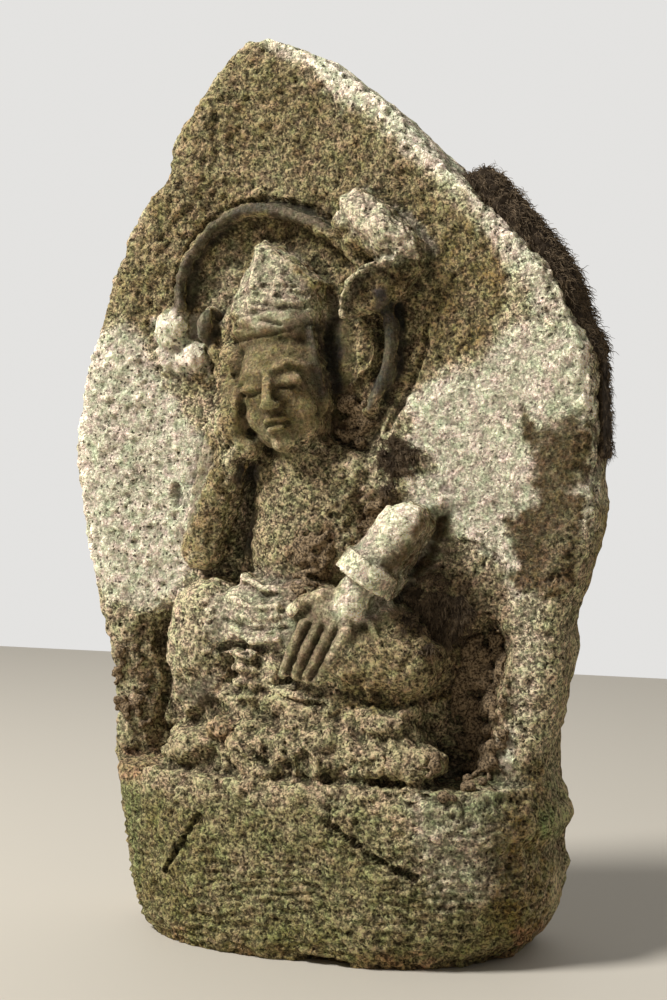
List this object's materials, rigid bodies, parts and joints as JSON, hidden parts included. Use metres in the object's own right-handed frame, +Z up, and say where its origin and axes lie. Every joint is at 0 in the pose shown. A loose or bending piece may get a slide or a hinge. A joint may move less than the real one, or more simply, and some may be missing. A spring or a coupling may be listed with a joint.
{
  "type": "stone figure stele",
  "caption": "Free-standing boat-shaped stone stele with a seated, head-on-hand figure carved in high relief over a rounded plinth.",
  "frame": {"origin": "middle of the whole object's box on its underside, at floor level", "axes": "+Z up from the underside to the apex, +Y from the carved front to the rough back, +X to the viewer's right as seen from the front"},
  "size_m": [0.3728, 0.1762, 0.5836],
  "materials": {
    "stone": "coarse pitted volcanic stone, carved, weathered and stained by lichen and soil, fully matt",
    "dry_moss": null
  },
  "bodies": {
    "root": {"stone_stele": "stone", "moss_mat": "dry_moss"}
  },
  "joints": []
}
